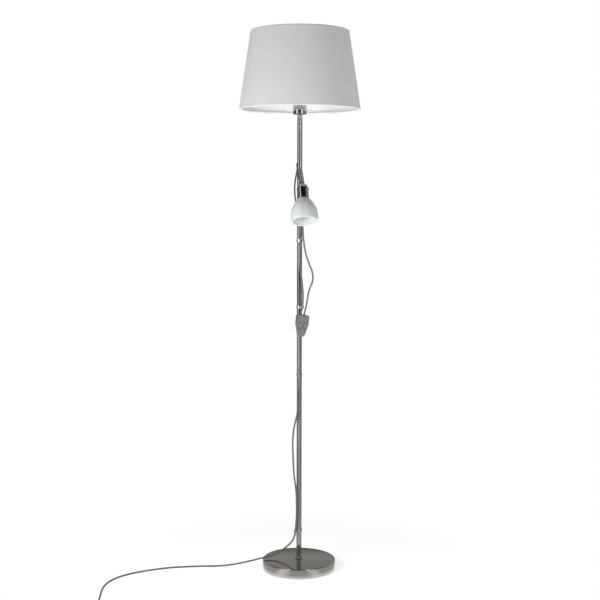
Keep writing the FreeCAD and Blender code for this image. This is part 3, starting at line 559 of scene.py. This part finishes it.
def coil_points():
    """The wound spare lead: an outer turn on the floor, an inner one in it, and one and a bit on top."""
    points = []
    count = round(COIL_TURNS * COIL_POINTS_PER_TURN)
    for k in range(count + 1):
        turn = k / COIL_POINTS_PER_TURN
        inward = eased(turn, *COIL_DRAWS_IN) - eased(turn, *COIL_SPREADS)
        radius = COIL_OUTER_R + (COIL_INNER_R - COIL_OUTER_R) * inward
        height = COIL_LOW_Z + (COIL_HIGH_Z - COIL_LOW_Z) * eased(turn, *COIL_CLIMBS)
        angle = COIL_START_ANGLE + 2.0 * math.pi * turn
        points.append(COIL_CENTRE + Vector((radius * math.cos(angle), radius * math.sin(angle), height)))
    return points


def lead_curve(name, points):
    """A round lead along the points. Its radius is set on the points, with a bevel of unit depth."""
    curve = bpy.data.curves.new(name, "CURVE")
    curve.dimensions = "3D"
    spline = curve.splines.new("NURBS")
    spline.points.add(len(points) - 1)
    for control, place in zip(spline.points, points):
        control.co = (*place, 1.0)
        control.radius = LEAD_R
    spline.order_u = 3
    spline.use_endpoint_u = True
    spline.resolution_u = 8
    curve.bevel_depth = 1.0
    curve.bevel_resolution = 6
    curve.use_fill_caps = True
    lead = bpy.data.objects.new(name, curve)
    scene.collection.objects.link(lead)
    return finished(lead, "stand", "lead_sheath")


def add_leads(plug_pieces):
    lamp = lead_curve("lamp_flex", LAMP_LEAD)
    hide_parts("lamp_lead")
    switch_pieces = ["switch_front_shell", "switch_back_shell", "switch_contacts", "switch_screws"]
    switch_pieces += ["switch_lead_nubs", "left_rocker_key", "right_rocker_key"]
    reading = lead_curve("reading_flex", READING_LEAD)
    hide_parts("reading_lead")
    mains = lead_curve("mains_flex", MAINS_LEAD + coil_points() + TAIL)
    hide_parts("mains_lead", "mains_coil")


# ---- base, pole and the main lamp's cup ----
def add_turned(name, node, outline, segments=96, slot="satin_nickel"):
    """A turned piece of the stand that takes the place of a node."""
    piece = lathe(name, rounded(outline), segments=segments)
    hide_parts(node)
    finished(piece, "stand", slot)


def turned_size(node):
    """A turned node's outer radius, foot and top, in millimetres."""
    low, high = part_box(node)
    return high.x / MM, low.z / MM, high.z / MM


def add_base():
    """The pressed cover of the base, and the collar at the pole's foot."""
    side, foot, top = turned_size("base_cover")
    skin = 1.2
    outline = [(NIPPLE_HOLE_R_MM, top), (side, top, 2.4), (side, foot, 0.5), (side - skin, foot, 0.5)]
    outline += [(side - skin, top - skin, 1.2), (NIPPLE_HOLE_R_MM, top - skin)]
    add_turned("base_shell", "base_cover", outline, segments=288)
    side, foot, top = turned_size("foot_collar")
    outline = [(POLE_R_MM, foot), (side, foot, 0.4), (side, top, 1.7), (POLE_R_MM + 0.05, top, 0.3)]
    add_turned("foot_ring", "foot_collar", outline)


def add_pole():
    """Three lengths of tube, each with eased ends, so that the joints show as fine lines."""
    ease = 0.45
    for length in ("lower", "middle", "upper"):
        foot, top = turned_size(f"pole_{length}")[1:]
        outline = [(POLE_BORE_R_MM, foot), (POLE_R_MM, foot, ease)]
        outline += [(POLE_R_MM, top, ease), (POLE_BORE_R_MM, top)]
        add_turned(f"tube_{length}", f"pole_{length}", outline)


def add_lamp_cup():
    """The spun cup under the shade, open at its top."""
    side, foot, top = turned_size("socket_cup")
    wall = 0.8
    outline = [(NIPPLE_HOLE_R_MM, foot), (side, foot, 1.8), (side, top, 0.35), (side - wall, top, 0.35)]
    outline += [(side - wall, foot + wall, 1.2), (NIPPLE_HOLE_R_MM, foot + wall)]
    add_turned("lamp_cup", "socket_cup", outline, slot="bright_nickel")


# ---- shade ----
# the cloth's overlap starts at SEAM_ANGLE, stands SEAM_STEP_MM proud for SEAM_WIDTH, and then dies away
SEAM_ANGLE = math.radians(97.0)
SEAM_WIDTH = 0.075
SEAM_STEP_MM = 0.55
SHADE_COLUMNS = 240
SHADE_ROWS = 8


def cloth_line(bottom, top):
    """The cloth's outer side as (r, z): out of the lower hem, up the shade and into the upper hem.

    At each end it rolls round the wire ring and lies on the lining, 11 mm into the shade.
    """
    hem = [(2.2, 11.0), (2.2, 8.2), (3.4, 6.4), (5.3, 4.6), (5.75, 2.6), (5.0, 0.7), (3.3, -0.45),
           (1.5, -0.35), (0.35, 0.6), (-0.12, 2.4), (-0.1, 4.6), (0.0, 7.5)]
    height = top - bottom

    def at(inset, up):
        share = up / height
        return (SHADE_BOTTOM_R_MM + share * (SHADE_TOP_R_MM - SHADE_BOTTOM_R_MM) - inset, bottom + up)

    line = [at(inset, up) for inset, up in hem]
    line += [at(0.0, height * k / SHADE_ROWS) for k in range(1, SHADE_ROWS)]
    line += [at(inset, height - up) for inset, up in reversed(hem)]
    return smooth_through(line, 3)


def cloth_swell(angle, r, z):
    """Hand-wrapped unevenness, and the overlap at the back whose folded edge stands up."""
    uneven = 0.22 * math.sin(3 * angle + 1.0 + 0.006 * z) + 0.12 * math.sin(7 * angle - 0.01 * z)
    past = angle - SEAM_ANGLE
    if past < 0.0:
        return uneven
    return uneven + SEAM_STEP_MM * (1.0 - eased(past, SEAM_WIDTH, 2.6 * SEAM_WIDTH))


def add_shade_cloth():
    """The stretched cover, with closer columns at the overlap so that its folded edge is crisp."""
    low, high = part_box("shade_fabric")
    bottom, top = low.z / MM, high.z / MM
    angles = [2.0 * math.pi * k / SHADE_COLUMNS for k in range(SHADE_COLUMNS)]
    angles += [SEAM_ANGLE + beside for beside in (-0.008, -0.0008, 0.0004, 0.006)]
    outline = cloth_line(bottom, top)
    cloth = lathe("shade_cloth", outline, closed=False, angles=sorted(angles), swell=cloth_swell)
    modifier = cloth.modifiers.new("cloth", "SOLIDIFY")
    modifier.thickness = CLOTH_THICKNESS
    modifier.offset = -1.0
    apply_modifiers(cloth)
    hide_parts("shade_fabric")
    finished(cloth, "stand", "shade_fabric")


# ---- reading lamp ----
def head_place():
    """From the reading lamp's own axes, +Z down its bell and +Y along its tilt pin, into place."""
    joint = next(j for j in frame["joints"] if j["name"] == "reading_tilt")
    across = -Vector(joint["axis"]).normalized()
    ahead = across.cross(UP)
    tilt = math.radians(HEAD_TILT)
    down_bell = ahead * math.sin(tilt) - UP * math.cos(tilt)
    turned = Matrix((across.cross(down_bell), across, down_bell)).transposed().to_4x4()
    return Matrix.Translation(joint["pos_m"]) @ turned


# (r, z) down the bell's outside, from the pin
BELL_SIDE = [(16.0, 30.6), (20.4, 35.6), (27.2, 45.0), (33.4, 57.0), (37.2, 71.0), (38.3, 85.0),
             (38.4, 97.5)]
BELL_WALL_MM = 3.0


def add_glass_bell():
    """The blown bell: an even wall, a round rim, and a neck for the ring that holds it."""
    outer = smooth_through(BELL_SIDE, 8)
    inner = offset_line(outer, BELL_WALL_MM)
    half = BELL_WALL_MM / 2.0
    middle = outer[-1] - Vector((half, 0.0))
    rim = [middle + Vector((half * math.cos(a), half * math.sin(a)))
           for a in (math.pi * k / 10 for k in range(1, 10))]
    neck = [Vector(p) for p in ((12.0, inner[0].y), (12.0, 29.2), (14.9, 29.2), (15.5, 29.6))]
    bell = lathe("glass_bell", outer + rim + inner[::-1] + neck, head_place(), segments=160)
    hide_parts("glass_shade")
    finished(bell, "reading_head", "frosted_glass")


# ---- switch ----
KEY_X_MM = 7.5
KEY_HALF_WIDTH_MM = 4.5
KEY_PIVOT_Y_MM = -7.5
KEY_EDGE_R = 0.0006
KEY_TILT = -7.0


def switch_place():
    """From the switch's own axes, with its face towards -Y, into place."""
    yaw = Matrix.Rotation(math.radians(SWITCH_YAW), 4, "Z")
    return Matrix.Translation(SWITCH_CENTRE) @ yaw @ Matrix.Rotation(math.radians(SWITCH_ROLL), 4, "Y")


def add_switch_keys():
    """Rocker keys with a bowed face, resting with their upper ends pressed in."""
    face = smooth_through([(-11.8, 8.0), (-13.0, 4.2), (-13.4, 0.0), (-13.0, -4.2), (-11.8, -8.0)], 5)
    back = [Vector(p) for p in ((-8.6, -7.7), (-6.3, -2.2), (-6.3, 2.2), (-8.6, 7.7))]
    profile = face + back
    size = len(profile)
    pivot = Matrix.Translation((0, KEY_PIVOT_Y_MM * MM, 0))
    tip = Matrix.Rotation(math.radians(KEY_TILT), 4, "X")
    place = switch_place() @ pivot @ tip @ pivot.inverted()
    for side, x in (("left", -KEY_X_MM), ("right", KEY_X_MM)):
        points = [place @ (Vector((x + edge, y, z)) * MM)
                  for edge in (-KEY_HALF_WIDTH_MM, KEY_HALF_WIDTH_MM) for y, z in profile]
        faces = [tuple(range(size)), tuple(range(2 * size - 1, size - 1, -1))]
        faces += [(k, size + k, size + (k + 1) % size, (k + 1) % size) for k in range(size)]
        key = mesh_piece(f"{side}_rocker_key", points, faces)
        tidy_normals(key.data)
        bevel_edges(key, KEY_EDGE_R, 40.0)
        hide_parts(f"rocker_{side}")
        finished(key, f"{side}_rocker", "switch_plastic")


# ---- plug, in millimetres ----
PLUG_AXIS_Y = -380.3
PLUG_AXIS_Z = 7.0
PLUG_START_X, PLUG_NECK_X, PLUG_FACE_X = -488.0, -462.0, -424.0
NECK_HALF_W, NECK_HALF_H = 6.0, 5.4
PLUG_HALF_W, PLUG_HALF_H = 17.6, 6.75
PLUG_ROWS, PLUG_COLUMNS = 76, 64
NECK_ROUND, FACE_ROUND = 1.2, 1.6
GROOVE_PITCH, GROOVE_DEPTH, FIRST_GROOVE = 3.4, 0.45, 9.0
RELIEF_RIBS, RIB_PITCH, RIB_DEPTH = 6, 3.9, 0.8
PIN_HALF_SPACING = 9.3
# distances from the neck, from the start to the end of each change
PLUG_WIDENS, PLUG_THICKENS = (-8.0, 27.0), (0.0, 10.0)
GROOVES_BEGIN, GROOVES_END = (7.5, 9.0), (22.0, 23.5)


def plug_ring(x, half_w, half_h, squareness):
    """A superellipse across the plug at x."""
    ring = []
    for k in range(PLUG_COLUMNS):
        a = 2.0 * math.pi * k / PLUG_COLUMNS
        c, s = math.cos(a), math.sin(a)
        across = half_w * math.copysign(abs(c) ** (2.0 / squareness), c)
        up = half_h * math.copysign(abs(s) ** (2.0 / squareness), s)
        ring.append(Vector((x, PLUG_AXIS_Y + across, PLUG_AXIS_Z + up)) * MM)
    return ring


def drawn_in(distance, radius):
    """How far a rounded end has drawn its side in, at a distance from that end."""
    share = max(radius - distance, 0.0) / radius
    return radius * (1.0 - math.sqrt(max(1.0 - share * share, 0.0)))


def plug_body():
    """Flat moulded body, wider towards its face, with finger grooves across both broad sides."""
    length = PLUG_FACE_X - PLUG_NECK_X
    rings = []
    for k in range(PLUG_ROWS + 1):
        along = length * k / PLUG_ROWS
        wide = eased(along, *PLUG_WIDENS)
        half_w = NECK_HALF_W + (PLUG_HALF_W - NECK_HALF_W) * wide
        half_h = NECK_HALF_H + (PLUG_HALF_H - NECK_HALF_H) * eased(along, *PLUG_THICKENS)
        groove = 0.5 * math.cos((along - FIRST_GROOVE) * 2.0 * math.pi / GROOVE_PITCH) + 0.5
        grooved = eased(along, *GROOVES_BEGIN) * (1.0 - eased(along, *GROOVES_END))
        half_h -= GROOVE_DEPTH * groove ** 3 * grooved
        inset = drawn_in(along, NECK_ROUND) + drawn_in(length - along, FACE_ROUND)
        rings.append(plug_ring(PLUG_NECK_X + along, half_w - inset, half_h - inset, 2.4 + 1.4 * wide))
    count = PLUG_COLUMNS
    points = [p for ring in rings for p in ring]
    faces = [tuple(range(count)), tuple(range(len(points) - 1, len(points) - count - 1, -1))]
    for k in range(PLUG_ROWS):
        for j in range(count):
            here, following = k * count + j, k * count + (j + 1) % count
            faces.append((here, following, following + count, here + count))
    piece = mesh_piece("mains_plug", points, faces)
    tidy_normals(piece.data)
    return piece


def along_x(x, y, z):
    """Puts a lathe's +Z along +X from a point given in millimetres."""
    return Matrix.Translation(Vector((x, y, z)) * MM) @ Matrix.Rotation(math.radians(90.0), 4, "Y")


def plug_relief():
    """Ribbed strain relief that tapers towards the lead."""
    length = PLUG_NECK_X - PLUG_START_X + 3.0
    bore = LEAD_R / MM + 0.05
    outline = [(bore, 0.0), (3.3, 0.0, 0.5)]
    for rib in range(RELIEF_RIBS):
        start = 3.2 + RIB_PITCH * rib
        radius = 3.4 + 2.0 * start / length
        outline += [(radius, start, 0.3), (radius - RIB_DEPTH, start + 0.4, 0.2),
                    (radius - RIB_DEPTH, start + 1.5, 0.2), (radius + 0.1, start + 1.9, 0.3)]
    outline += [(NECK_HALF_H, length), (bore, length)]
    return lathe("plug_relief", rounded(outline, 3), along_x(PLUG_START_X, PLUG_AXIS_Y, PLUG_AXIS_Z), 48)


def add_plug():
    """The plug at the mains lead's end. Returns the pieces that go with the lead."""
    body = plug_body()
    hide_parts("plug_body")
    pieces = [body, plug_relief()]
    for number, side in enumerate((-1, 1), 1):
        root = along_x(PLUG_FACE_X, PLUG_AXIS_Y + side * PIN_HALF_SPACING, PLUG_AXIS_Z)
        outline = [(1.9, -0.5), (2.12, -0.5), (2.12, 9.6, 0.1), (1.9, 9.9)]
        pieces.append(lathe(f"plug_sleeve_{number}", rounded(outline, 3), root, 32))
    for piece in pieces:
        finished(piece, "stand", "lead_sheath")
    return pieces + ["plug_pins"]


# ---- floor and light ----
WHITE = (1.0, 1.0, 1.0, 1.0)
SHADOWS_FADE = (0.24, 0.66)
# where metal starts to mirror a painted glow in place of the floor, in metres from under the pole
PAINTED_GLOW_STARTS = (0.108, 0.135)
# degrees round from the viewer's side, half its width in degrees, and how much brighter the painted glow that
# metal mirrors is there: painted pools of light before the softboxes
PAINTED_LIGHT_POOLS = [(-36.0, 24.0, 0.42), (33.0, 20.0, 0.36)]


def floor_material():
    """Pale floor whose soft shadows fade out, away from the lamp, into the white around it.

    Metal mirrors a painted glow in place of the floor, from just past the base outwards. This painted reflection
    is darker than the floor the eye sees and dims away from the base, with a painted pool of light on either side
    where the softboxes stand.
    """
    material = bpy.data.materials.new("studio_floor")
    material.use_nodes = True
    material.node_tree.nodes.clear()
    node = functools.partial(add_node, material.node_tree)
    place = node("ShaderNodeTexCoord").outputs["Object"]
    distance = node("ShaderNodeVectorMath", {0: place}, operation="LENGTH").outputs["Value"]
    parts = node("ShaderNodeSeparateXYZ", {"Vector": place}).outputs

    def calculated(operation, first, second=0.0):
        return node("ShaderNodeMath", {0: first, 1: second}, operation=operation).outputs[0]

    def ramp(value, start, end, low=0.0, high=1.0, kind="LINEAR"):
        inputs = {"Value": value, "From Min": start, "From Max": end, "To Min": low, "To Max": high}
        return node("ShaderNodeMapRange", inputs, interpolation_type=kind).outputs["Result"]

    def glow(strength):
        return node("ShaderNodeEmission", {"Color": WHITE, "Strength": strength}).outputs[0]

    def mixed(factor, first, second):
        return node("ShaderNodeMixShader", {0: factor, 1: first, 2: second}).outputs[0]

    matt = node("ShaderNodeBsdfDiffuse", {"Color": (0.86, 0.86, 0.86, 1.0)}).outputs[0]
    near = node("ShaderNodeAddShader", {0: matt, 1: glow(0.61)}).outputs[0]
    seen = mixed(ramp(distance, *SHADOWS_FADE, kind="SMOOTHSTEP"), near, glow(1.0))
    azimuth = calculated("ARCTAN2", parts["X"], calculated("MULTIPLY", parts["Y"], -1.0))
    # painted reflection: the glow that metal mirrors, brighter near the base and dimmer further out
    level = ramp(distance, 0.15, 0.4, 0.46, 0.26)
    # a painted pool of light in that glow, before each softbox
    for degrees, half_width, painted_boost in PAINTED_LIGHT_POOLS:
        away = calculated("ABSOLUTE", calculated("SUBTRACT", azimuth, math.radians(degrees)))
        painted_pool = ramp(away, math.radians(half_width), 0.0, 0.0, painted_boost, "SMOOTHSTEP")
        level = calculated("ADD", level, painted_pool)
    # past the base, glossy rays see the painted glow in place of the floor
    painted_glow_share = node("ShaderNodeLightPath").outputs["Is Glossy Ray"]
    painted_glow_share = calculated("MULTIPLY", painted_glow_share, ramp(distance, *PAINTED_GLOW_STARTS))
    node("ShaderNodeOutputMaterial", {"Surface": mixed(painted_glow_share, seen, glow(level))})
    return material


def add_floor():
    """A square floor, a hair below everything that rests on it."""
    size = 12.0
    corners = [(-size, -size, 0), (size, -size, 0), (size, size, 0), (-size, size, 0)]
    floor = mesh_piece("studio_floor", corners, [(0, 1, 2, 3)])
    floor.location.z = -0.0004
    floor.data.materials.append(floor_material())


def add_softbox(name, azimuth, width, height, distance, centre_z, power, mirrored=True):
    """A soft light that stands azimuth degrees round from the viewer's side and faces the pole.

    A mirrored one shows only in glossy surfaces, and the others light only the matt ones.
    """
    data = bpy.data.lights.new(name, "AREA")
    data.shape = "RECTANGLE"
    data.size = width
    data.size_y = height
    data.energy = power
    light = bpy.data.objects.new(name, data)
    scene.collection.objects.link(light)
    a = math.radians(azimuth)
    place = Vector((math.sin(a) * distance, -math.cos(a) * distance, centre_z))
    light.location = place
    light.rotation_euler = (Vector((0, 0, centre_z)) - place).to_track_quat("-Z", "Y").to_euler()
    light.visible_camera = False
    light.visible_glossy = mirrored
    light.visible_diffuse = not mirrored


def add_world():
    """White to the eye, soft light for matt surfaces, and a dim studio in what the metal mirrors.

    The mirrored studio is brighter far to the right, near the horizon, and up behind the lamp.
    """
    world = bpy.data.worlds.new("studio")
    scene.world = world
    world.use_nodes = True
    world.node_tree.nodes.clear()
    node = functools.partial(add_node, world.node_tree)
    rays = node("ShaderNodeLightPath").outputs
    generated = node("ShaderNodeTexCoord").outputs["Generated"]
    toward = node("ShaderNodeSeparateXYZ", {"Vector": generated}).outputs

    def background(colour, strength=1.0):
        return node("ShaderNodeBackground", {"Color": colour, "Strength": strength}).outputs[0]

    def mixed(factor, first, second):
        return node("ShaderNodeMixShader", {0: factor, 1: first, 2: second}).outputs[0]

    def rise(axis, start, end, low, high):
        inputs = {"Value": toward[axis], "From Min": start, "From Max": end, "To Min": low, "To Max": high}
        return node("ShaderNodeMapRange", inputs, interpolation_type="SMOOTHSTEP").outputs["Result"]

    def joined(operation, first, second, **settings):
        return node("ShaderNodeMath", {0: first, 1: second}, operation=operation, **settings).outputs[0]

    right = rise("X", 0.65, 0.95, 0.015, 0.24)
    low_down = rise("Z", 0.40, 0.12, 0.0, 0.07)
    high_behind = joined("MULTIPLY", rise("Z", 0.10, 0.30, 0.0, 1.0), rise("Y", 0.0, 0.6, 0.0, 0.27))
    level = joined("ADD", joined("ADD", right, low_down), high_behind)
    studio = background((1.0, 1.0, 0.985, 1.0), level)
    soft = background((0.20, 0.20, 0.197, 1.0))
    reflected = joined("SUBTRACT", rays["Is Glossy Ray"], rays["Is Transmission Ray"], use_clamp=True)
    around = mixed(rays["Is Camera Ray"], mixed(reflected, soft, studio), background(WHITE))
    node("ShaderNodeOutputWorld", {"Surface": around})


def add_studio():
    """Floor, surroundings, and the soft lights that stand round the lamp."""
    add_floor()
    add_world()
    # degrees round from the viewer's side, width, height, distance, height of the centre, and watts
    add_softbox("softbox_left", -49.0, 1.0, 1.35, 2.2, 1.72, 5.3)
    add_softbox("softbox_right", 37.0, 0.95, 1.35, 2.2, 1.72, 4.6)
    add_softbox("low_left", -50.0, 1.6, 0.95, 2.2, 0.57, 2.0)
    add_softbox("low_right", 35.0, 0.8, 0.95, 2.2, 0.57, 0.9)
    add_softbox("high_left", -38.0, 0.55, 0.6, 2.15, 2.1, 8.3)
    add_softbox("high_right", 31.0, 0.45, 0.6, 2.15, 2.1, 10.0)
    add_softbox("overhead_left", -66.0, 0.9, 1.3, 2.2, 2.65, 3.3)
    add_softbox("fill_left", -40.0, 0.5, 0.5, 1.1, 0.8, 9.4, mirrored=False)
    add_softbox("fill_right", 58.0, 0.5, 0.5, 1.0, 0.75, 3.0, mirrored=False)
    scene.view_settings.view_transform = "Standard"


def main():
    add_camera()
    paint_nodes()
    add_switch_keys()
    add_leads(add_plug())
    add_base()
    add_pole()
    add_lamp_cup()
    add_shade_cloth()
    add_glass_bell()
    add_studio()


main()
